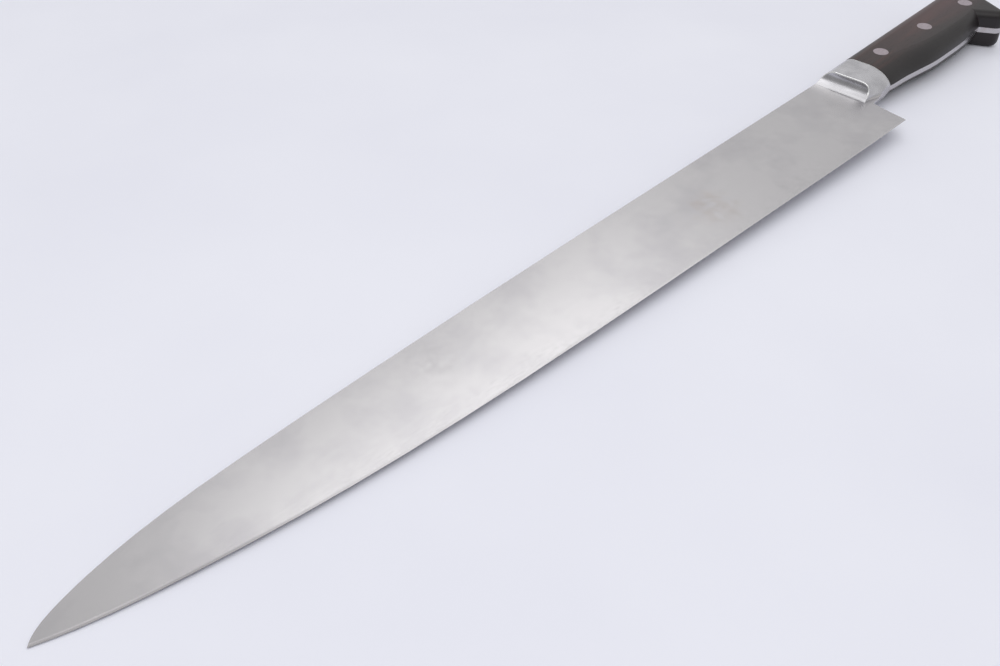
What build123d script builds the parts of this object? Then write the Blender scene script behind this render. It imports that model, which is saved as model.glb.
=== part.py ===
from build123d import *
import math
import os

os.makedirs("parts", exist_ok=True)

# Sizes are in millimetres. On the knife x runs from the heel corner to the butt, y from the
# cutting edge to the spine, and z from the middle of the steel plate out of the left side.

# Blade: a plate ground on both sides from the spine down to a thin edge
blade_length = 360.0
heel_height = 41.8
plate_thick = 2.4
tip_thick = 0.9
edge_thick = 0.12
bevel_width = 0.9
bevel_thick = 0.5
choil_reach = 2.4
choil_depth = 25.8
choil_hollow = 0.3
grind_top_share = 1.1
bulge_share = 0.62

# Cutting edge and spine line: share of the blade length, share of the heel height
edge_shares = [
    (-0.04, 0.0), (0.0, 0.0), (0.05, 0.005), (0.1, 0.0135), (0.15, 0.025), (0.2, 0.0378),
    (0.25, 0.0508), (0.3, 0.0635), (0.35, 0.0756), (0.4, 0.0872), (0.45, 0.0992), (0.5, 0.1128),
    (0.55, 0.1285), (0.6, 0.1474), (0.65, 0.1707), (0.7, 0.1996), (0.75, 0.2356),
    (0.8, 0.2816), (0.85, 0.3403), (0.9, 0.4112), (0.95, 0.499), (1.0, 0.63), (1.04, 0.78),
]
spine_shares = [
    (1.0, 0.63), (0.992, 0.69), (0.972, 0.766), (0.944, 0.831), (0.889, 0.907),
    (0.806, 0.952), (0.694, 0.977), (0.556, 0.993), (0.278, 1.0), (0.0, 1.0),
]

# Bolster: two halves welded to the plate, each hollowed by a wheel at the front
bolster_front = -1.0
bolster_rear = 20.0
neck_front = 4.0
neck_lift = 0.3
rear_depth_share = 0.877
scoop_radius = 5.2
scoop_reach = -0.8
scoop_low_rise = 0.4
scoop_high_rise = 1.19
# Pinched belly of the bolster's front: share of the belly roll, share of the half thickness
pinch_shares = [
    (0.0, 0.0), (0.03, 0.05), (0.1, 0.075), (0.15, 0.085), (0.185, 0.115), (0.246, 0.332),
    (0.292, 0.498), (0.333, 0.65), (0.378, 0.785), (0.428, 0.884), (0.5, 0.952), (0.62, 0.989),
    (1.0, 1.0),
]
# Share of the bolster's run, share of the grip depth, share of the belly roll, belly form
bolster_shares = [
    (0.0, 0.928, 0.846, pinch_shares), (0.25, 0.928, 0.846, pinch_shares),
    (0.62, 0.905, 0.87, None), (1.0, rear_depth_share, 1.0, None), (1.3, 0.9, 1.0, None),
]

# Handle: full tang between two scales, with a hook and a rounded butt
handle_end = 120.0
grip_depth = 27.6
spine_rise = 1.0
belly_roll = 13.0
spine_round = 6.2
rim_round = 3.2
hook_start = 100.0
hook_depth = 25.93
hook_angle = 61.0
hook_root = 13.0
hook_reach = 6.4
beak_radius = 3.6
back_share = 2.0
butt_round = 10.0
# Share of the handle behind the bolster, share of the grip depth, share of the belly roll
grip_shares = [
    (-0.11, 0.858, 1.0), (0.0, rear_depth_share, 1.0), (0.11, 0.901, 0.94), (0.22, 0.942, 0.85),
    (0.33, 0.987, 0.75), (0.44, 0.996, 0.64), (0.55, 0.996, 0.58), (0.66, 0.979, 0.51),
    (0.77, 0.937, 0.46), (0.88, 0.909, 0.46),
]

# Rest: the knife lies on its right side, on the tip and on the flat of the right scale
tip_rise = 0.3
butt_half = 8.73

# Cutler's rivets: a head and pin pressed into a head and tube
rivet_start = 34.0
rivet_depth = 10.38
rivet_pitch = 35.0
rivet_fall = 2.19
rivet_head = 6.4
head_depth = 3.0
tube_diameter = 4.0
pin_diameter = 2.6
fit_clearance = 0.02
tang_clearance = 0.3
pin_gap = 0.4

# Working allowances
skin = 0.04
near = 0.02
overrun = 15.0

# Derived places and the plane of the knife
plate_half = plate_thick / 2
top_height = heel_height + spine_rise
grind_top = grind_top_share * heel_height
handle_run = handle_end - bolster_rear
hook_slope = math.radians(hook_angle)
tilt = math.atan((butt_half - tip_rise) / (blade_length + handle_end))


def half_at(x):
    """Half thickness of bolster and handle at x, set by the flat that the knife rests on."""
    return tip_rise + (x + blade_length) * math.tan(tilt)


def spine_at(x):
    """Height of the spine side of bolster and handle at x."""
    return heel_height + spine_rise * x / handle_end


def rivet_place(step):
    """Place of one rivet on the knife, counted from the bolster."""
    x = rivet_start + step * rivet_pitch
    return (x, spine_at(x) - rivet_depth - step * rivet_fall)


rivet_places = [rivet_place(step) for step in range(3)]
knife = Plane(
    origin=(
        (blade_length - handle_end) / 2 * math.cos(tilt),
        -top_height / 2,
        half_at(0) * math.cos(tilt),
    ),
    x_dir=(math.cos(tilt), 0, math.sin(tilt)),
    z_dir=(-math.sin(tilt), 0, math.cos(tilt)),
)


def across(x):
    """Plane square to the knife at x, its own x up the height and its own y out of the side."""
    return Plane(knife.from_local_coords((x, 0, 0)), x_dir=knife.y_dir, z_dir=knife.x_dir)


def along(y):
    """Plane along the knife at height y, its own x to the butt and its own y out of the side."""
    return Plane(knife.from_local_coords((0, y, 0)), x_dir=knife.x_dir, z_dir=-knife.y_dir)


def blade_point(shares):
    """Place on the plate of a share of the blade length and a share of the heel height."""
    return (-shares[0] * blade_length, shares[1] * heel_height)


def blade_section(edge, length_share):
    """Draw the ground section of the plate, from its edge up past the spine."""
    half = plate_half + (tip_thick / 2 - plate_half) * max(length_share, 0)
    shoulder = edge + bevel_width
    middle = (shoulder + grind_top) / 2
    bulge = bevel_thick / 2 + bulge_share * (half - bevel_thick / 2)
    Line((edge, -edge_thick / 2), (edge, edge_thick / 2))
    Line((edge, edge_thick / 2), (shoulder, bevel_thick / 2))
    ThreePointArc((shoulder, bevel_thick / 2), (middle, bulge), (grind_top, half))
    Line((grind_top, half), (grind_top, -half))
    ThreePointArc((grind_top, -half), (middle, -bulge), (shoulder, -bevel_thick / 2))
    Line((shoulder, -bevel_thick / 2), (edge, -edge_thick / 2))


def grip_section(x, depth_share, roll_share, belly_shares=None):
    """Draw the section of bolster or handle: belly, two flats, rounded spine side."""
    top = spine_at(x)
    low = top - depth_share * grip_depth
    roll = roll_share * belly_roll
    half = half_at(x) + skin
    if belly_shares:
        left = [(low + up_share * roll, out_share * half) for up_share, out_share in belly_shares]
        right = [(height, -out) for height, out in left[1:]]
        Spline(*left[::-1], *right, tangents=[(-1, 0), (1, 0)])
    else:
        EllipticalCenterArc((low + roll, 0), roll, half, start_angle=90, arc_size=180)
    Line((low + roll, -half), (top - spine_round, -half))
    CenterArc((top - spine_round, spine_round - half), spine_round, -90, 90)
    Line((top, spine_round - half), (top, half - spine_round))
    CenterArc((top - spine_round, half - spine_round), spine_round, 0, 90)
    Line((top - spine_round, half), (low + roll, half))


def on_lines(*lines):
    """Test that picks the rim edges which run above or below any of the plan lines."""
    def test(edge):
        middle = knife.to_local_coords(edge @ 0.5)
        plan = Vector(middle.X, middle.Y)
        level = abs(middle.Z) > plate_thick
        return level and min((plan - line @ 0.5).length for line in lines) < near
    return test


# Flats: the wedge between the two flat sides of bolster and handle
with BuildPart() as flats_body:
    with BuildSketch(along(0)):
        with BuildLine():
            front = -blade_length
            back = handle_end + overrun
            Polyline((front, half_at(front)), (back, half_at(back)), (back, -half_at(back)),
                     (front, -half_at(front)), close=True)
        make_face()
    extrude(amount=top_height + overrun, both=True)

# Grip: the whole form of the handle behind the bolster, scales and tang together
with BuildPart() as grip_body:
    for run_share, depth_share, roll_share in grip_shares:
        station = bolster_rear + run_share * handle_run
        with BuildSketch(across(station)):
            with BuildLine():
                grip_section(station, depth_share, roll_share)
            make_face()
    loft()
    add(flats_body.part, mode=Mode.INTERSECT)
    split(bisect_by=across(bolster_rear), keep=Keep.TOP)

# Hook and butt: a block behind the fingers, its front face running up inside the grip
with BuildPart() as back_body:
    for station in (hook_start - hook_root, handle_end + overrun):
        with BuildSketch(across(station)):
            with BuildLine():
                grip_section(station, back_share, 1)
            make_face()
    loft()

with BuildPart() as hook_body:
    with BuildSketch(knife):
        with BuildLine():
            down = Vector(math.cos(hook_slope), -math.sin(hook_slope))
            corner = Vector(hook_start, spine_at(hook_start) - hook_depth)
            front = Line(corner - down * hook_root, corner + down * hook_reach)
            beak_middle = front @ 1 + Vector(-down.Y, down.X) * beak_radius
            butt_middle = Vector(handle_end, spine_at(handle_end) + skin) - Vector(1, 1) * butt_round
            span = butt_middle - beak_middle
            lean = math.asin((butt_round - beak_radius) / span.length)
            slope = math.atan2(span.Y, span.X) - lean
            beak = JernArc(front @ 1, down, beak_radius, hook_angle + math.degrees(slope))
            outward = Vector(math.sin(slope), -math.cos(slope))
            rear = Line(beak @ 1, butt_middle + outward * butt_round)
            shoulder = JernArc(rear @ 1, rear % 1, butt_round, 180 - math.degrees(slope))
            ridge = Line(shoulder @ 1, ((front @ 0).X, (shoulder @ 1).Y))
            Line(ridge @ 1, front @ 0)
        make_face()
    extrude(amount=butt_half + overrun, both=True)
    add(flats_body.part, mode=Mode.INTERSECT)
    rims = hook_body.edges().filter_by(on_lines(front, beak, rear, shoulder, ridge))
    fillet(rims, radius=rim_round)
    add(back_body.part, mode=Mode.INTERSECT)

# Handle: grip and hook as one form
with BuildPart() as handle_body:
    add(grip_body.part)
    add(hook_body.part)

# Bolster form: both halves and the neck between them
with BuildPart() as bolster_body:
    for run_share, depth_share, roll_share, belly_shares in bolster_shares:
        station = bolster_front + run_share * (bolster_rear - bolster_front)
        with BuildSketch(across(station)):
            with BuildLine():
                grip_section(station, depth_share, roll_share, belly_shares)
            make_face()
    loft()
    add(flats_body.part, mode=Mode.INTERSECT)
    split(bisect_by=across(bolster_rear), keep=Keep.BOTTOM)

# Neck: the middle slice of the bolster form, kept behind the scoops
with BuildPart() as neck_body:
    add(bolster_body.part)
    split(bisect_by=knife.offset(plate_half), keep=Keep.BOTTOM)
    split(bisect_by=knife.offset(-plate_half), keep=Keep.TOP)
    split(bisect_by=across(neck_front), keep=Keep.TOP)

# Tang: the middle slice of the handle form
with BuildPart() as tang_body:
    add(handle_body.part)
    split(bisect_by=knife.offset(plate_half), keep=Keep.BOTTOM)
    split(bisect_by=knife.offset(-plate_half), keep=Keep.TOP)

# Blade: ground plate, neck through the bolster and full tang, all one piece of steel
with BuildPart() as blade:
    for shares in edge_shares:
        reach, edge = blade_point(shares)
        with BuildSketch(across(reach)):
            with BuildLine():
                blade_section(edge, shares[0])
            make_face()
    loft()
    # Everything above the spine and beyond the tip
    with BuildSketch(knife):
        with BuildLine():
            spine = Spline(*[blade_point(shares) for shares in spine_shares])
            far = blade_point(edge_shares[-1])[0] - overrun
            Polyline(spine @ 1, (overrun, spine_at(overrun)), (overrun, grind_top + overrun),
                     (far, grind_top + overrun), (far, (spine @ 0).Y), spine @ 0)
        make_face()
    extrude(amount=plate_thick, both=True, mode=Mode.SUBTRACT)
    # The choil behind the heel corner, then the underside that runs into the bolster
    with BuildSketch(knife):
        with BuildLine():
            choil = SagittaArc((0, 0), (choil_reach, heel_height - choil_depth), choil_hollow)
            rear_low = spine_at(bolster_rear) - rear_depth_share * grip_depth + neck_lift
            Polyline(choil @ 1, (bolster_rear, rear_low), (bolster_rear, -overrun), (0, -overrun),
                     (0, 0))
        make_face()
    extrude(amount=plate_thick, both=True, mode=Mode.SUBTRACT)
    add(neck_body.part)
    # Tang, drilled for the rivet tubes
    add(tang_body.part)
    with Locations(*[knife.location * Location((x, y, 0)) for x, y in rivet_places]):
        Cylinder(tube_diameter / 2 + tang_clearance, plate_thick, mode=Mode.SUBTRACT)
blade.part.label = "blade"
export_step(blade.part, "parts/blade.step")

# Scoop: the hollow that a wheel leaves across the front of the bolster
with BuildPart() as scoop_cut:
    for height, rise in ((0, scoop_low_rise), (grind_top, scoop_high_rise)):
        with BuildSketch(along(height)):
            with BuildLine():
                hollow = CenterArc((scoop_reach, rise + scoop_radius), scoop_radius, -90, 90)
                above = butt_half + overrun
                Polyline(hollow @ 1, (scoop_reach + scoop_radius, above),
                         (scoop_reach - overrun, above), (scoop_reach - overrun, rise), hollow @ 0)
            make_face()
    loft(ruled=True)

# Bolster: left half on the plate, right half its mirror image
with BuildPart() as bolster_left:
    add(bolster_body.part)
    split(bisect_by=knife, keep=Keep.TOP)
    add(scoop_cut.part, mode=Mode.SUBTRACT)
    add(blade.part, mode=Mode.SUBTRACT)
bolster_left.part.label = "bolster_left"
export_step(bolster_left.part, "parts/bolster_left.step")

with BuildPart() as bolster_right:
    mirror(bolster_left.part, about=knife)
bolster_right.part.label = "bolster_right"
export_step(bolster_right.part, "parts/bolster_right.step")

# Scales: the outer slices of the handle form, with stepped holes for the rivets
with BuildPart() as scale_left:
    add(handle_body.part)
    split(bisect_by=knife.offset(plate_half), keep=Keep.TOP)
    for x, y in rivet_places:
        seat = half_at(x) - head_depth
        with Locations(knife.location * Location((x, y, 0))):
            Cylinder(tube_diameter / 2 + fit_clearance, 2 * butt_half, mode=Mode.SUBTRACT)
        with Locations(knife.location * Location((x, y, seat))):
            Cylinder(rivet_head / 2 + fit_clearance, butt_half, mode=Mode.SUBTRACT,
                     align=(Align.CENTER, Align.CENTER, Align.MIN))
scale_left.part.label = "scale_left"
export_step(scale_left.part, "parts/scale_left.step")

with BuildPart() as scale_right:
    mirror(scale_left.part, about=knife)
scale_right.part.label = "scale_right"
export_step(scale_right.part, "parts/scale_right.step")

# Rivets: each a head with a pin from the left, pressed into a head with a tube from the right
for place, (x, y) in zip(("front", "middle", "rear"), rivet_places):
    seat = half_at(x) - head_depth
    with BuildPart() as rivet_pin:
        with Locations(knife.location * Location((x, y, seat))):
            Cylinder(rivet_head / 2, butt_half, align=(Align.CENTER, Align.CENTER, Align.MIN))
        add(handle_body.part, mode=Mode.INTERSECT)
        with Locations(knife.location * Location((x, y, pin_gap - seat))):
            Cylinder(pin_diameter / 2, 2 * seat - pin_gap,
                     align=(Align.CENTER, Align.CENTER, Align.MIN))
    rivet_pin.part.label = f"rivet_{place}_pin"
    export_step(rivet_pin.part, f"parts/rivet_{place}_pin.step")

    with BuildPart() as rivet_tube:
        with Locations(knife.location * Location((x, y, -seat))):
            Cylinder(rivet_head / 2, butt_half, align=(Align.CENTER, Align.CENTER, Align.MAX))
        add(handle_body.part, mode=Mode.INTERSECT)
        with Locations(knife.location * Location((x, y, -seat))):
            Cylinder(tube_diameter / 2, 2 * seat - pin_gap,
                     align=(Align.CENTER, Align.CENTER, Align.MIN))
            Cylinder(pin_diameter / 2 + fit_clearance, 2 * seat,
                     align=(Align.CENTER, Align.CENTER, Align.MIN), mode=Mode.SUBTRACT)
    rivet_tube.part.label = f"rivet_{place}_tube"
    export_step(rivet_tube.part, f"parts/rivet_{place}_tube.step")
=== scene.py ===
"""Looks of a carving knife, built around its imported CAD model.

The knife lies on its right side on a plain pale floor. +X runs from the tip to the butt, +Y from
the cutting edge to the spine and +Z up out of the blade's left side. All lengths are in metres.
"""

import logging
import math
from abc import ABC, abstractmethod
from dataclasses import dataclass, field
from enum import Enum
from typing import Any

import bmesh
import bpy
from mathutils import Euler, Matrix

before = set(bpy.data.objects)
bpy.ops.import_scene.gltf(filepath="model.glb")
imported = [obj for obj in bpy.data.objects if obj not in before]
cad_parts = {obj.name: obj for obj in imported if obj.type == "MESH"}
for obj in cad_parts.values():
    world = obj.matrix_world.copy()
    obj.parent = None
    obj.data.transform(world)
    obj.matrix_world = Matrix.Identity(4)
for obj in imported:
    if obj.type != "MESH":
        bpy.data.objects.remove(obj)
bpy.context.view_layer.update()

MM = 0.001
PICTURE_WIDTH = 1000
log = logging.getLogger("carving_knife")

# The curve that screen colours follow: straight below the knee, a power above it.
SRGB_KNEE, SRGB_SLOPE = 0.04045, 12.92
SRGB_SHIFT, SRGB_POWER = 0.055, 2.4

Node = bpy.types.Node
Socket = bpy.types.NodeSocket
Tree = bpy.types.NodeTree
Triple = tuple[float, float, float]
Points = tuple[tuple[float, float], ...]
Stops = tuple[tuple[float, str], ...]


class Side(Enum):
    """The two faces of the knife as it lies."""

    LEFT = "left"
    RIGHT = "right"


class RivetPlace(Enum):
    """The three rivets of the handle, from the bolster to the butt."""

    FRONT = "front"
    MIDDLE = "middle"
    REAR = "rear"


class RivetHalf(Enum):
    """The two halves that are pressed together into one cutler's rivet."""

    PIN = "pin"
    TUBE = "tube"


def linear(code: str) -> tuple[float, float, float, float]:
    """Turns a colour as written for screens into the linear colour that shaders take.

    Args:
        code: sRGB hex value, such as "#a0a0a4".

    Returns:
        Red, green, blue and a full alpha, linear.
    """
    channels = [int(code[at:at + 2], 16) / 255 for at in (1, 3, 5)]
    red, green, blue = (
        c / SRGB_SLOPE if c <= SRGB_KNEE else ((c + SRGB_SHIFT) / (1 + SRGB_SHIFT)) ** SRGB_POWER
        for c in channels
    )
    return red, green, blue, 1.0


def add(
    tree: Tree,
    kind: str,
    inputs: dict[str | int, Any] | None = None,
    stops: Stops = (),
    points: Points = (),
    **settings: Any,
) -> Node:
    """Adds one node with its settings, values and links.

    Args:
        tree: Node tree that the node goes into.
        kind: Node type without its ShaderNode prefix.
        inputs: Value or source socket for each input, by name or number.
        stops: Place and hex colour of each stop of a colour ramp.
        points: Points of a float curve.
        settings: Properties of the node.

    Returns:
        The new node.
    """
    node = tree.nodes.new("ShaderNode" + kind)
    for name, value in settings.items():
        setattr(node, name, value)
    for key, value in (inputs or {}).items():
        if isinstance(value, Socket):
            tree.links.new(value, node.inputs[key])
        else:
            node.inputs[key].default_value = value
    for number, (place, code) in enumerate(stops):
        elements = node.color_ramp.elements
        stop = elements[number] if number < len(elements) else elements.new(place)
        stop.position, stop.color = place, linear(code)
    if points:
        curve = node.mapping.curves[0]
        for number, point in enumerate(points):
            if number < len(curve.points):
                curve.points[number].location = point
            else:
                curve.points.new(*point)
        node.mapping.update()
    return node


@dataclass(frozen=True)
class Grain:
    """A pattern of marks from their real size along X, Y and Z; equal sizes make clouds."""

    size: Triple
    detail: float = 2.0
    roughness: float = 0.5
    distortion: float = 0.0

    def lay(self, tree: Tree, place: Socket) -> Socket:
        """Lays the marks over a surface.

        Args:
            tree: Node tree of the material.
            place: Coordinates on the surface, in metres.

        Returns:
            Strength of the marks, from 0 to 1 and mostly near the middle.
        """
        in_marks = add(tree, "Mapping", {
            "Vector": place, "Scale": tuple(1 / size for size in self.size)})
        noise = add(tree, "TexNoise", {
            "Vector": in_marks.outputs[0], "Scale": 1.0, "Detail": self.detail,
            "Roughness": self.roughness, "Distortion": self.distortion})
        return noise.outputs["Fac"]


@dataclass(frozen=True)
class Stain:
    """A cloudy patch for stain marks and painted reflections: its middle, how far it reaches, how
    strong it gets and its colour.
    """

    centre: Triple
    reach: float
    depth: float
    code: str


class Finish(ABC):
    """A surface finish that makes one material."""

    name: str

    @abstractmethod
    def paint(self, tree: Tree) -> dict[str | int, Any]:
        """Adds the finish's pattern nodes.

        Args:
            tree: Node tree of the material.

        Returns:
            Value or source socket of each shader input that the finish sets.
        """

    def material(self) -> bpy.types.Material:
        """Makes the material, or gives the one that is there.

        Returns:
            The material with its full node tree.
        """
        made = bpy.data.materials.get(self.name)
        if made is None:
            made = bpy.data.materials.new(self.name)
            made.use_nodes = True
            tree = made.node_tree
            tree.nodes.clear()
            shader = add(tree, "BsdfPrincipled", self.paint(tree))
            add(tree, "OutputMaterial", {"Surface": shader.outputs[0]})
        return made


@dataclass(frozen=True)
class SatinBladeSteel(Finish):
    """Stainless cutlery steel, belt ground to a satin: a soft grey mirror with faint lines.

    The eye sees a smooth grey that carries broad, soft reflections, a band of fine broken hone
    marks along the edge, a thin bright bevel darkened by painted shade towards the tip, a few
    faint smudges and stain marks with one painted reflection among them, and a soft lift where
    the blade runs into the bolster. The grinding lines and hone marks are drawn coarser than the
    real ones, which are too fine to show.
    """

    name: str = "satin_cutlery_steel"
    greys: Stops = ((0.36, "#bfbdc0"), (0.56, "#c8c6c8"))
    smudges: Grain = Grain((24 * MM, 24 * MM, 24 * MM), detail=5.0, roughness=0.6)

    lines: Grain = Grain((45 * MM, 0.8 * MM, 0.8 * MM), detail=3.0)
    line_low: float = 0.3
    line_high: float = 0.7
    roughness: float = 0.25
    uneven_share: float = 0.04
    relief_strength: float = 0.012
    relief_depth: float = 0.01 * MM

    # The marks follow the edge, so their second size is across it. They fade out over hone_band
    # up the blade, and from hone_to to hone_from towards the tip.
    hone: Grain = Grain((3 * MM, 0.35 * MM, 0.35 * MM), detail=3.0, roughness=0.6)
    hone_code: str = "#b4b2b4"
    hone_low: float = 0.5
    hone_high: float = 0.7
    hone_depth: float = 0.6
    hone_band: float = 12 * MM
    hone_from: float = -215 * MM
    hone_to: float = -130 * MM

    bevel_code: str = "#cdcbcd"
    bevel_width: float = 0.9 * MM
    bevel_full_share: float = 0.4
    # Painted shade: the bevel's grey darkens towards the tip, between the two X values below.
    tip_bevel_shade_code: str = "#a7a5a7"
    tip_bevel_shade_from: float = -110 * MM
    tip_bevel_shade_to: float = -200 * MM

    tang_code: str = "#bfbcbe"
    tang_from: float = 122 * MM
    tang_to: float = 126 * MM

    # Stain marks, and one painted reflection laid the same way.
    stains_and_painted_reflection: tuple[Stain, ...] = (
        Stain((15 * MM, -3 * MM, 7 * MM), reach=13 * MM, depth=0.5, code="#a8978c"),
        # Painted reflection, not a stain: a darker bluish grey cloud on the tip half of the
        # blade.
        Stain((-110 * MM, 9 * MM, 4 * MM), reach=14 * MM, depth=0.5, code="#a5a3a6"),
        Stain((221 * MM, -9 * MM, 8 * MM), reach=5 * MM, depth=1.0, code="#a08a7a"),
    )
    stain_clouds: Grain = Grain((6 * MM, 6 * MM, 6 * MM), detail=4.0, distortion=0.3)
    stain_low: float = 0.42
    stain_high: float = 0.7

    # The steel seems to rise a little over foot_run before the bolster's foot, but not below
    # foot_low, where the choil is.
    foot_at: float = 119.6 * MM
    foot_end: float = 120.4 * MM
    foot_run: float = 9 * MM
    foot_low: float = -4 * MM
    foot_high: float = 1 * MM
    foot_lean: float = 0.14

    # The line of the cutting edge: its height over edge_at as a share of the heel's height, along
    # the blade from the tip.
    tip_at: float = -240 * MM
    blade_length: float = 360 * MM
    heel_height: float = 41.8 * MM
    edge_at: float = -21.4 * MM
    edge_shares: Points = (
        (0.0, 0.63), (0.05, 0.499), (0.1, 0.4112), (0.15, 0.3403), (0.2, 0.2816),
        (0.25, 0.2356), (0.3, 0.1996), (0.4, 0.1474), (0.5, 0.1128), (0.6, 0.0872),
        (0.7, 0.0635), (0.8, 0.0378), (0.9, 0.0135), (0.95, 0.005), (1.0, 0.0),
    )

    def paint(self, tree: Tree) -> dict[str | int, Any]:
        """Lays grinding lines, hone marks, the bevel, smudges and stains over the steel.

        Args:
            tree: Node tree of the material.

        Returns:
            Value or source socket of each shader input that the finish sets.
        """
        place = add(tree, "TexCoord").outputs["Object"]
        axes = add(tree, "SeparateXYZ", {0: place})
        above = self.height_above_edge(tree, axes)
        honed = self.hone_marks(tree, axes, above)
        colour = self.ground_colour(tree, place, axes, above, honed)
        lines = self.lines.lay(tree, place)
        rough = add(tree, "MapRange", {
            "Value": lines, "From Min": self.line_low, "From Max": self.line_high,
            "To Min": self.roughness * (1 - self.uneven_share),
            "To Max": self.roughness * (1 + self.uneven_share)})
        height = add(tree, "Math", {0: lines, 1: honed}, operation="SUBTRACT")
        relief = add(tree, "Bump", {
            "Height": height.outputs[0], "Normal": self.lifted_way(tree, axes),
            "Strength": self.relief_strength, "Distance": self.relief_depth})
        return {
            "Base Color": self.colour_with_stains_and_reflection(tree, place, colour),
            "Roughness": rough.outputs[0], "Normal": relief.outputs[0], "Metallic": 1.0}

    def height_above_edge(self, tree: Tree, axes: Node) -> Socket:
        """Measures how far a place is from the curved cutting edge.

        Args:
            tree: Node tree of the material.
            axes: Node that gives X, Y and Z of the place.

        Returns:
            Height above the cutting edge.
        """
        along = add(tree, "MapRange", {
            "Value": axes.outputs["X"], "From Min": self.tip_at,
            "From Max": self.tip_at + self.blade_length})
        edge = add(tree, "FloatCurve", {"Value": along.outputs[0]}, points=self.edge_shares)
        edge_y = add(tree, "Math", {0: edge.outputs[0], 1: self.heel_height, 2: self.edge_at},
                     operation="MULTIPLY_ADD")
        above = add(tree, "Math", {0: axes.outputs["Y"], 1: edge_y.outputs[0]},
                    operation="SUBTRACT")
        return above.outputs[0]

    def hone_marks(self, tree: Tree, axes: Node, above: Socket) -> Socket:
        """Lays broken hone marks along the edge, near the tip faintest.

        Args:
            tree: Node tree of the material.
            axes: Node that gives X, Y and Z of the place.
            above: Height above the cutting edge.

        Returns:
            Strength of the marks.
        """
        followed = add(tree, "CombineXYZ", {"X": axes.outputs["X"], "Y": above})
        dents = add(tree, "MapRange", {
            "Value": self.hone.lay(tree, followed.outputs[0]), "From Min": self.hone_low,
            "From Max": self.hone_high, "To Max": self.hone_depth})
        up = add(tree, "MapRange", {
            "Value": above, "From Min": self.hone_band, "From Max": self.bevel_width},
            interpolation_type="SMOOTHSTEP")
        along = add(tree, "MapRange", {
            "Value": axes.outputs["X"], "From Min": self.hone_from, "From Max": self.hone_to})
        here = add(tree, "Math", {0: up.outputs[0], 1: along.outputs[0]}, operation="MULTIPLY")
        marks = add(tree, "Math", {0: dents.outputs[0], 1: here.outputs[0]},
                    operation="MULTIPLY")
        return marks.outputs[0]

    def ground_colour(
        self, tree: Tree, place: Socket, axes: Node, above: Socket, honed: Socket
    ) -> Socket:
        """Colours the ground steel, with its hone marks, the tang, and its bevel with painted
        shade towards the tip.

        Args:
            tree: Node tree of the material.
            place: Coordinates on the blade.
            axes: Node that gives X, Y and Z of the place.
            above: Height above the cutting edge.
            honed: Strength of the hone marks.

        Returns:
            Colour of the steel before its stain marks and painted reflection.
        """
        grey = add(tree, "ValToRGB", {"Fac": self.smudges.lay(tree, place)}, stops=self.greys)
        marked = add(tree, "Mix", {
            "Factor": honed, "A": grey.outputs[0], "B": linear(self.hone_code)},
            data_type="RGBA")
        # Painted shade on the bevel towards the tip.
        bevel_shade_to_tip = add(tree, "MapRange", {
            "Value": axes.outputs["X"], "From Min": self.tip_bevel_shade_from,
            "From Max": self.tip_bevel_shade_to})
        shaded_bevel_grey = add(tree, "Mix", {
            "Factor": bevel_shade_to_tip.outputs[0], "A": linear(self.bevel_code),
            "B": linear(self.tip_bevel_shade_code)}, data_type="RGBA")
        bevel = add(tree, "MapRange", {
            "Value": above, "From Min": self.bevel_width,
            "From Max": self.bevel_width * self.bevel_full_share})
        bevelled = add(tree, "Mix", {
            "Factor": bevel.outputs[0], "A": marked.outputs["Result"],
            "B": shaded_bevel_grey.outputs["Result"]}, data_type="RGBA")
        tang = add(tree, "MapRange", {
            "Value": axes.outputs["X"], "From Min": self.tang_from, "From Max": self.tang_to})
        bare = add(tree, "Mix", {
            "Factor": tang.outputs[0], "A": bevelled.outputs["Result"],
            "B": linear(self.tang_code)}, data_type="RGBA")
        return bare.outputs["Result"]

    def colour_with_stains_and_reflection(self, tree: Tree, place: Socket, colour: Socket) -> Socket:
        """Clouds the steel with its stain marks and one painted reflection.

        Args:
            tree: Node tree of the material.
            place: Coordinates on the blade.
            colour: Colour of the steel before its stain marks and painted reflection.

        Returns:
            Colour of the steel with its stain marks and painted reflection.
        """
        clouds = self.stain_clouds.lay(tree, place)
        for stain in self.stains_and_painted_reflection:
            away = add(tree, "VectorMath", {0: place, 1: stain.centre}, operation="DISTANCE")
            near = add(tree, "MapRange", {
                "Value": away.outputs["Value"], "From Min": stain.reach, "From Max": 0.0})
            clouded = add(tree, "MapRange", {
                "Value": clouds, "From Min": self.stain_low, "From Max": self.stain_high,
                "To Max": stain.depth})
            here = add(tree, "Math", {0: near.outputs[0], 1: clouded.outputs[0]},
                       operation="MULTIPLY")
            colour = add(tree, "Mix", {
                "Factor": here.outputs[0], "A": colour, "B": linear(stain.code)},
                data_type="RGBA").outputs["Result"]
        return colour

    def lifted_way(self, tree: Tree, axes: Node) -> Socket:
        """Turns the steel a little to the tip where it starts to rise into the bolster.

        Args:
            tree: Node tree of the material.
            axes: Node that gives X, Y and Z of the place.

        Returns:
            Direction that the steel faces.
        """
        to_foot = add(tree, "MapRange", {
            "Value": axes.outputs["X"], "From Min": self.foot_at - self.foot_run,
            "From Max": self.foot_at, "To Max": -self.foot_lean})
        past_foot = add(tree, "MapRange", {
            "Value": axes.outputs["X"], "From Min": self.foot_end, "From Max": self.foot_at})
        up_foot = add(tree, "MapRange", {
            "Value": axes.outputs["Y"], "From Min": self.foot_low, "From Max": self.foot_high})
        here = add(tree, "Math", {0: past_foot.outputs[0], 1: up_foot.outputs[0]},
                   operation="MULTIPLY")
        lean = add(tree, "Math", {0: to_foot.outputs[0], 1: here.outputs[0]},
                   operation="MULTIPLY")
        tipward = add(tree, "CombineXYZ", {"X": lean.outputs[0]})
        leaning = add(tree, "VectorMath", {
            0: add(tree, "NewGeometry").outputs["Normal"], 1: tipward.outputs[0]},
            operation="ADD")
        return add(tree, "VectorMath", {0: leaning.outputs[0]}, operation="NORMALIZE").outputs[0]


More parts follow.
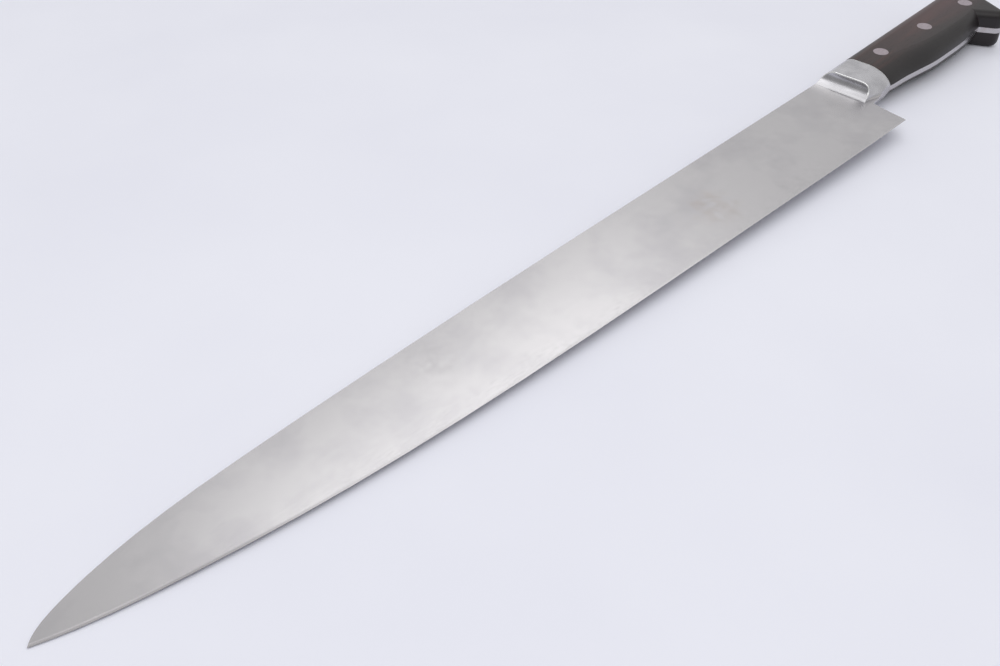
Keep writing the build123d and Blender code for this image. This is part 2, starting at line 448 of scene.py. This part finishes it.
@dataclass(frozen=True)
class SatinBolsterSteel(Finish):
    """Stainless steel, filed to shape and buffed: smoother and a little brighter than the blade.

    The eye sees soft grey planes with crisp crests, rounded in shading and whitened by a painted
    highlight, and a hollow that starts softly at the blade, greyed down by painted shade there
    and at the foot. The scratches across it are drawn coarser than the real ones, which are too
    fine to show.
    """

    name: str = "buffed_bolster_steel"
    greys: Stops = ((0.35, "#b9b8bc"), (0.62, "#cccbcf"))
    blotches: Grain = Grain((7 * MM, 7 * MM, 7 * MM), detail=3.0)

    scratches: Grain = Grain((0.6 * MM, 8 * MM, 0.6 * MM))
    scratch_low: float = 0.3
    scratch_high: float = 0.7
    roughness: float = 0.27
    uneven_share: float = 0.05
    relief_strength: float = 0.012
    relief_depth: float = 0.01 * MM

    # A crest shows where the rounded surface turns away from the flat one, by their cosine; there
    # the colour is whitened to a painted highlight.
    crest_highlight_code: str = "#f4f4f4"
    crest_radius: float = 1.0 * MM
    crest_samples: int = 16
    crest_highlight_from: float = 0.998
    crest_highlight_to: float = 0.95

    # The middle plane of the blade's plate: the way it faces, and how far it is from the origin.
    # The lengths of the foot and the hollow are distances from it.
    plate_way: Triple = (-0.01756, 0.0, 0.99985)
    plate_at: float = 4.51 * MM
    # Painted shade: the foot, where the bolster meets the blade, and the hollow are greyed down
    # to this.
    foot_and_hollow_shade_code: str = "#b5b4b7"
    foot_low: float = 1.5 * MM
    foot_high: float = 2.2 * MM

    # The hollow turns towards the plate's own way by these shares, from hollow_low to
    # hollow_high. Only what faces the tip is turned: the X of its direction goes from front_from,
    # not turned, to front_to, fully turned.
    hollow_low: float = 1.2 * MM
    hollow_high: float = 4.0 * MM
    hollow_shares: Points = (
        (0.0, 0.0), (0.2, 0.26), (0.4, 0.42), (0.55, 0.42), (0.68, 0.24), (0.82, 0.0), (1.0, 0.0))
    front_from: float = -0.2
    front_to: float = -0.4

    def paint(self, tree: Tree) -> dict[str | int, Any]:
        """Lays scratches and blotches, eases the hollow, and paints shade and crest highlights.

        Args:
            tree: Node tree of the material.

        Returns:
            Value or source socket of each shader input that the finish sets.
        """
        place = add(tree, "TexCoord").outputs["Object"]
        flat = add(tree, "NewGeometry").outputs["Normal"]
        soft = add(tree, "Bevel", {"Radius": self.crest_radius},
                   samples=self.crest_samples).outputs[0]
        along = add(tree, "VectorMath", {0: place, 1: self.plate_way}, operation="DOT_PRODUCT")
        outer = add(tree, "Math", {0: along.outputs["Value"], 1: self.plate_at},
                    operation="SUBTRACT").outputs[0]
        off = add(tree, "Math", {0: outer}, operation="ABSOLUTE").outputs[0]
        clear = add(tree, "MapRange", {
            "Value": off, "From Min": self.foot_low, "From Max": self.foot_high}).outputs[0]
        ease = self.hollow_ease(tree, off, flat)
        scratches = self.scratches.lay(tree, place)
        rough = add(tree, "MapRange", {
            "Value": scratches, "From Min": self.scratch_low, "From Max": self.scratch_high,
            "To Min": self.roughness * (1 - self.uneven_share),
            "To Max": self.roughness * (1 + self.uneven_share)})
        relief = add(tree, "Bump", {
            "Height": scratches, "Normal": self.formed_way(tree, outer, clear, ease, flat, soft),
            "Strength": self.relief_strength, "Distance": self.relief_depth})
        return {
            "Base Color": self.buffed_colour(tree, place, clear, ease, flat, soft),
            "Roughness": rough.outputs[0], "Normal": relief.outputs[0], "Metallic": 1.0}

    def hollow_ease(self, tree: Tree, off: Socket, flat: Socket) -> Socket:
        """Finds where the hollow rises from the blade.

        Args:
            tree: Node tree of the material.
            off: Distance from the plate's middle plane.
            flat: Direction that the true surface faces.

        Returns:
            How much the hollow turns towards the plate's own way.
        """
        risen = add(tree, "MapRange", {
            "Value": off, "From Min": self.hollow_low, "From Max": self.hollow_high})
        easy = add(tree, "FloatCurve", {"Value": risen.outputs[0]}, points=self.hollow_shares)
        front = add(tree, "MapRange", {
            "Value": add(tree, "SeparateXYZ", {0: flat}).outputs["X"],
            "From Min": self.front_from, "From Max": self.front_to})
        return add(tree, "Math", {0: easy.outputs[0], 1: front.outputs[0]},
                   operation="MULTIPLY").outputs[0]

    def formed_way(
        self, tree: Tree, outer: Socket, clear: Socket, ease: Socket, flat: Socket, soft: Socket
    ) -> Socket:
        """Rounds the crests and eases the hollow, and leaves the foot unrounded.

        Args:
            tree: Node tree of the material.
            outer: Distance from the plate's middle plane, below zero on the right side.
            clear: 0 at the foot and 1 clear of it.
            ease: How much the hollow turns towards the plate's own way.
            flat: Direction that the true surface faces.
            soft: Direction that the rounded surface faces.

        Returns:
            Direction that the formed surface faces.
        """
        rounded = add(tree, "Mix", {"Factor": clear, "A": flat, "B": soft}, data_type="VECTOR")
        side = add(tree, "Math", {0: outer}, operation="SIGN")
        plate = add(tree, "VectorMath", {0: self.plate_way, "Scale": side.outputs[0]},
                    operation="SCALE")
        eased = add(tree, "Mix", {
            "Factor": ease, "A": rounded.outputs["Result"], "B": plate.outputs[0]},
            data_type="VECTOR")
        return add(tree, "VectorMath", {0: eased.outputs["Result"]},
                   operation="NORMALIZE").outputs[0]

    def buffed_colour(
        self, tree: Tree, place: Socket, clear: Socket, ease: Socket, flat: Socket, soft: Socket
    ) -> Socket:
        """Colours the steel: blotched greys, painted shade at the foot and in the hollow, and a
        painted highlight on the crests.

        Args:
            tree: Node tree of the material.
            place: Coordinates on the bolster.
            clear: 0 at the foot and 1 clear of it.
            ease: How much the hollow turns towards the plate's own way.
            flat: Direction that the true surface faces.
            soft: Direction that the rounded surface faces.

        Returns:
            Colour of the steel.
        """
        grey = add(tree, "ValToRGB", {"Fac": self.blotches.lay(tree, place)}, stops=self.greys)
        # Painted shade at the foot and in the hollow.
        foot_shaded = add(tree, "Mix", {
            "Factor": clear, "A": linear(self.foot_and_hollow_shade_code), "B": grey.outputs[0]},
            data_type="RGBA")
        hollow_shaded = add(tree, "Mix", {
            "Factor": ease, "A": foot_shaded.outputs["Result"], "B": linear(self.foot_and_hollow_shade_code)},
            data_type="RGBA")
        # Painted highlight: the crests are whitened where the rounded surface turns from the flat
        # one.
        turn = add(tree, "VectorMath", {0: soft, 1: flat}, operation="DOT_PRODUCT")
        painted_crest_highlight = add(tree, "MapRange", {
            "Value": turn.outputs["Value"], "From Min": self.crest_highlight_from,
            "From Max": self.crest_highlight_to})
        crest = add(tree, "Math", {0: painted_crest_highlight.outputs[0], 1: clear}, operation="MULTIPLY")
        return add(tree, "Mix", {
            "Factor": crest.outputs[0], "A": hollow_shaded.outputs["Result"],
            "B": linear(self.crest_highlight_code)}, data_type="RGBA").outputs["Result"]


@dataclass(frozen=True)
class OiledRosewood(Finish):
    """Rosewood, sanded and oiled: dark brown with redder streaks and open pores along the grain.

    The eye sees a nearly black brown under a soft satin sheen, warmer where the streaks run,
    greyer towards the butt under a painted sheen, darkest on the belly under painted shade, and
    rubbed pale along the edges. The pores have their real size.
    """

    name: str = "oiled_rosewood"
    browns: Stops = ((0.3, "#1a0f12"), (0.52, "#331d1b"), (0.72, "#522e29"))
    streaks: Grain = Grain((60 * MM, 6 * MM, 6 * MM), detail=3.0, distortion=0.7)

    pore_code: str = "#1a0f12"
    pores: Grain = Grain((5 * MM, 0.22 * MM, 0.22 * MM))
    pore_low: float = 0.58
    pore_high: float = 0.7
    pore_depth: float = 0.6
    roughness: float = 0.42
    pore_rough_share: float = 1.4
    relief_strength: float = 0.12
    relief_depth: float = 0.03 * MM

    # Painted sheen: the wood greys towards the butt, from the first X to the second.
    butt_sheen_code: str = "#4a3438"
    butt_sheen_from: float = 140 * MM
    butt_sheen_to: float = 225 * MM
    butt_sheen_depth: float = 0.75

    # Painted shade: the wood goes nearly black over the belly, from the first Y down to the
    # second.
    belly_shade_code: str = "#100b0e"
    belly_shade_from: float = 13 * MM
    belly_shade_to: float = -3 * MM
    belly_shade_depth: float = 0.95

    # An edge shows where the rounded surface turns away from the flat one, by their cosine.
    rubbed_code: str = "#4d3e3a"
    edge_radius: float = 0.4 * MM
    edge_samples: int = 6
    rubbed_from: float = 0.98
    rubbed_to: float = 0.86
    rubbed_depth: float = 0.5

    def paint(self, tree: Tree) -> dict[str | int, Any]:
        """Lays streaks and pores along the grain, paints sheen and shade, and rubs the edges.

        Args:
            tree: Node tree of the material.

        Returns:
            Value or source socket of each shader input that the finish sets.
        """
        place = add(tree, "TexCoord").outputs["Object"]
        soft = add(tree, "Bevel", {"Radius": self.edge_radius},
                   samples=self.edge_samples).outputs[0]
        pores = self.pores.lay(tree, place)
        open_pore = add(tree, "MapRange", {
            "Value": pores, "From Min": self.pore_low, "From Max": self.pore_high,
            "To Max": self.pore_depth}).outputs[0]
        rough = add(tree, "MapRange", {
            "Value": open_pore, "To Min": self.roughness,
            "To Max": self.roughness * self.pore_rough_share})
        relief = add(tree, "Bump", {
            "Height": pores, "Normal": soft, "Strength": self.relief_strength,
            "Distance": self.relief_depth}, invert=True)
        grown = self.grown_colour(tree, place, open_pore)
        return {
            "Base Color": self.sheened_shaded_rubbed_colour(tree, place, soft, grown),
            "Roughness": rough.outputs[0], "Normal": relief.outputs[0]}

    def grown_colour(self, tree: Tree, place: Socket, open_pore: Socket) -> Socket:
        """Colours the wood as it grew, with its streaks and pores.

        Args:
            tree: Node tree of the material.
            place: Coordinates on the scale.
            open_pore: Strength of the pores.

        Returns:
            Colour of the fresh wood.
        """
        brown = add(tree, "ValToRGB", {"Fac": self.streaks.lay(tree, place)}, stops=self.browns)
        pored = add(tree, "Mix", {
            "Factor": open_pore, "A": brown.outputs[0], "B": linear(self.pore_code)},
            data_type="RGBA")
        return pored.outputs["Result"]

    def sheened_shaded_rubbed_colour(self, tree: Tree, place: Socket, soft: Socket, grown: Socket) -> Socket:
        """Paints a greyer sheen towards the butt and shade on its belly, and rubs its edges.

        Args:
            tree: Node tree of the material.
            place: Coordinates on the scale.
            soft: Direction that the rounded surface faces.
            grown: Colour of the fresh wood.

        Returns:
            Colour of the wood with its painted sheen, painted shade and rubbed edges.
        """
        axes = add(tree, "SeparateXYZ", {0: place})
        # Painted sheen, greyer towards the butt.
        painted_sheen = add(tree, "MapRange", {
            "Value": axes.outputs["X"], "From Min": self.butt_sheen_from, "From Max": self.butt_sheen_to,
            "To Max": self.butt_sheen_depth})
        sheened = add(tree, "Mix", {
            "Factor": painted_sheen.outputs[0], "A": grown, "B": linear(self.butt_sheen_code)},
            data_type="RGBA")
        # Painted shade on the belly.
        belly_shade = add(tree, "MapRange", {
            "Value": axes.outputs["Y"], "From Min": self.belly_shade_from, "From Max": self.belly_shade_to,
            "To Max": self.belly_shade_depth}, interpolation_type="SMOOTHSTEP")
        belly_shaded = add(tree, "Mix", {
            "Factor": belly_shade.outputs[0], "A": sheened.outputs["Result"],
            "B": linear(self.belly_shade_code)}, data_type="RGBA")
        turn = add(tree, "VectorMath", {
            0: soft, 1: add(tree, "NewGeometry").outputs["Normal"]}, operation="DOT_PRODUCT")
        rubbed = add(tree, "MapRange", {
            "Value": turn.outputs["Value"], "From Min": self.rubbed_from,
            "From Max": self.rubbed_to, "To Max": self.rubbed_depth})
        return add(tree, "Mix", {
            "Factor": rubbed.outputs[0], "A": belly_shaded.outputs["Result"],
            "B": linear(self.rubbed_code)}, data_type="RGBA").outputs["Result"]


@dataclass(frozen=True)
class GroundRivetMetal(Finish):
    """Nickel silver, ground flush with the wood.

    The eye sees a faintly warm grey disc with fine scratches along the handle, which are drawn
    coarser than the real ones.
    """

    name: str = "ground_nickel_silver"
    greys: Stops = ((0.35, "#a2979d"), (0.62, "#b6abb2"))
    scratches: Grain = Grain((3 * MM, 0.2 * MM, 0.2 * MM))
    scratch_low: float = 0.3
    scratch_high: float = 0.7
    roughness: float = 0.36
    uneven_share: float = 0.1
    relief_strength: float = 0.1
    relief_depth: float = 0.02 * MM

    def paint(self, tree: Tree) -> dict[str | int, Any]:
        """Lays grinding scratches along the handle over the metal.

        Args:
            tree: Node tree of the material.

        Returns:
            Value or source socket of each shader input that the finish sets.
        """
        scratches = self.scratches.lay(tree, add(tree, "TexCoord").outputs["Object"])
        colour = add(tree, "ValToRGB", {"Fac": scratches}, stops=self.greys)
        rough = add(tree, "MapRange", {
            "Value": scratches, "From Min": self.scratch_low, "From Max": self.scratch_high,
            "To Min": self.roughness * (1 - self.uneven_share),
            "To Max": self.roughness * (1 + self.uneven_share)})
        relief = add(tree, "Bump", {
            "Height": scratches, "Strength": self.relief_strength,
            "Distance": self.relief_depth})
        return {
            "Base Color": colour.outputs["Color"], "Roughness": rough.outputs[0],
            "Normal": relief.outputs[0], "Metallic": 1.0}


@dataclass(frozen=True)
class HonedFloorStone(Finish):
    """Pale honed stone, plain: a cool white with very faint clouds and barely a sheen."""

    name: str = "pale_honed_stone"
    whites: Stops = ((0.35, "#eff0fb"), (0.65, "#f3f4fe"))
    clouds: Grain = Grain((120 * MM, 120 * MM, 120 * MM), detail=3.0)
    roughness: float = 0.5

    def paint(self, tree: Tree) -> dict[str | int, Any]:
        """Lays very faint clouds over the stone.

        Args:
            tree: Node tree of the material.

        Returns:
            Value or source socket of each shader input that the finish sets.
        """
        clouds = self.clouds.lay(tree, add(tree, "TexCoord").outputs["Object"])
        colour = add(tree, "ValToRGB", {"Fac": clouds}, stops=self.whites)
        return {"Base Color": colour.outputs["Color"], "Roughness": self.roughness}


def dress(node: str, finish: Finish) -> bpy.types.Object:
    """Gives a CAD node its finish.

    Args:
        node: Name of the CAD node.
        finish: Finish that its material slots take.

    Returns:
        The node's object.
    """
    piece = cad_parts[node]
    for slot in piece.material_slots:
        slot.material = finish.material()
    return piece


@dataclass
class Blade:
    """The blade with its neck and full tang, in one piece of steel."""

    finish: SatinBladeSteel = field(default_factory=SatinBladeSteel)

    def build(self) -> list[bpy.types.Object]:
        """Dresses the blade."""
        return [dress("blade", self.finish)]


@dataclass
class Bolster:
    """The two halves of the bolster, one on each side of the neck."""

    finish: SatinBolsterSteel = field(default_factory=SatinBolsterSteel)

    def build(self) -> list[bpy.types.Object]:
        """Dresses both halves."""
        return [dress(f"bolster_{side.value}", self.finish) for side in Side]


@dataclass
class Handle:
    """The two wooden scales and the three rivets that hold them to the tang."""

    wood: OiledRosewood = field(default_factory=OiledRosewood)
    metal: GroundRivetMetal = field(default_factory=GroundRivetMetal)

    def build_scales(self) -> list[bpy.types.Object]:
        """Dresses both wooden scales."""
        return [dress(f"scale_{side.value}", self.wood) for side in Side]

    def build_rivets(self) -> list[bpy.types.Object]:
        """Dresses both halves of each rivet."""
        return [dress(f"rivet_{place.value}_{half.value}", self.metal)
                for place in RivetPlace for half in RivetHalf]

    def build(self) -> list[bpy.types.Object]:
        """Dresses the scales, then the rivets."""
        return self.build_scales() + self.build_rivets()


@dataclass(frozen=True)
class SoftBox:
    """A wide soft box that shines straight down.

    Its brightness is that of its face, where 1 is white paper in full light.
    """

    name: str
    centre: Triple
    width: float
    depth: float
    brightness: float

    def build(self) -> bpy.types.Object:
        """Makes the lamp.

        Returns:
            The lamp's object.
        """
        data = bpy.data.lights.new(self.name, "AREA")
        data.shape, data.size, data.size_y = "RECTANGLE", self.width, self.depth
        data.energy = self.brightness * math.pi * self.width * self.depth
        lamp = bpy.data.objects.new(self.name, data)
        lamp.location = self.centre
        bpy.context.scene.collection.objects.link(lamp)
        return lamp


@dataclass
class Studio:
    """The floor, the soft lamps, the light of the room and the camera."""

    floor_side: float = 8.0
    finish: HonedFloorStone = field(default_factory=HonedFloorStone)
    lamps: tuple[SoftBox, ...] = (
        SoftBox("window_lamp", (1.22, 1.04, 2.2), width=1.86, depth=1.25, brightness=1.15),
        SoftBox("fill_lamp", (-1.5, -1.0, 2.2), width=3.0, depth=3.0, brightness=1.1),
    )

    # The room is brighter beyond the knife: its level goes from near_level to far_level with the
    # cosine between a direction and far_way.
    room_code: str = "#ffffff"
    far_way: Triple = (0.94, 0.342, 0.0)
    near_cosine: float = -0.95
    far_cosine: float = 0.35
    near_level: float = 0.31
    far_level: float = 0.7

    # The turn is in degrees, and the sensor's width in millimetres, as Blender takes it.
    camera_at: Triple = (-0.258034, -0.165551, 0.207166)
    camera_turn: Triple = (49.8, 0.0, -45.316)
    sensor_width: float = 36.0
    focal_pixels: float = 1024.0
    nearest: float = 0.01
    farthest: float = 20.0

    def build_floor(self) -> bpy.types.Object:
        """Makes the floor under the knife.

        Returns:
            The floor's object.
        """
        mesh = bpy.data.meshes.new("floor")
        shape = bmesh.new()
        bmesh.ops.create_grid(shape, x_segments=1, y_segments=1, size=self.floor_side / 2)
        shape.to_mesh(mesh)
        shape.free()
        floor = bpy.data.objects.new("floor", mesh)
        floor.data.materials.append(self.finish.material())
        bpy.context.scene.collection.objects.link(floor)
        return floor

    def build_light(self) -> list[bpy.types.Object]:
        """Makes the lamps and the light of the room.

        Returns:
            The lamps' objects.
        """
        lamps = [lamp.build() for lamp in self.lamps]
        world = bpy.data.worlds.new("studio")
        bpy.context.scene.world = world
        world.use_nodes = True
        tree = world.node_tree
        tree.nodes.clear()
        way = add(tree, "TexCoord").outputs["Generated"]
        beyond = add(tree, "VectorMath", {0: way, 1: self.far_way}, operation="DOT_PRODUCT")
        level = add(tree, "MapRange", {
            "Value": beyond.outputs["Value"], "From Min": self.near_cosine,
            "From Max": self.far_cosine, "To Min": self.near_level, "To Max": self.far_level},
            interpolation_type="SMOOTHSTEP")
        sky = add(tree, "Background", {
            "Color": linear(self.room_code), "Strength": level.outputs[0]})
        add(tree, "OutputWorld", {"Surface": sky.outputs[0]})
        bpy.context.scene.view_settings.view_transform = "Standard"
        return lamps

    def build_camera(self) -> bpy.types.Object:
        """Sets up the camera at the photograph's viewing angle.

        Returns:
            The camera's object.
        """
        data = bpy.data.cameras.new("camera")
        data.sensor_width = self.sensor_width
        data.lens = self.focal_pixels * self.sensor_width / PICTURE_WIDTH
        data.clip_start, data.clip_end = self.nearest, self.farthest
        camera = bpy.data.objects.new("camera", data)
        camera.location = self.camera_at
        camera.rotation_euler = Euler([math.radians(turn) for turn in self.camera_turn])
        bpy.context.scene.collection.objects.link(camera)
        bpy.context.scene.camera = camera
        return camera

    def build(self) -> list[bpy.types.Object]:
        """Makes the camera, the lamps and the floor."""
        return [self.build_camera(), *self.build_light(), self.build_floor()]


def save_sizes() -> None:
    """Brings the view layer up to date."""
    bpy.context.view_layer.update()


def main() -> None:
    """Builds the studio and dresses the knife, one sub-assembly after the other."""
    logging.basicConfig(level=logging.INFO)
    for part in (Studio(), Blade(), Bolster(), Handle()):
        for piece in part.build():
            log.info("%s: %s is ready", type(part).__name__, piece.name)
    save_sizes()


if __name__ == "__main__":
    main()
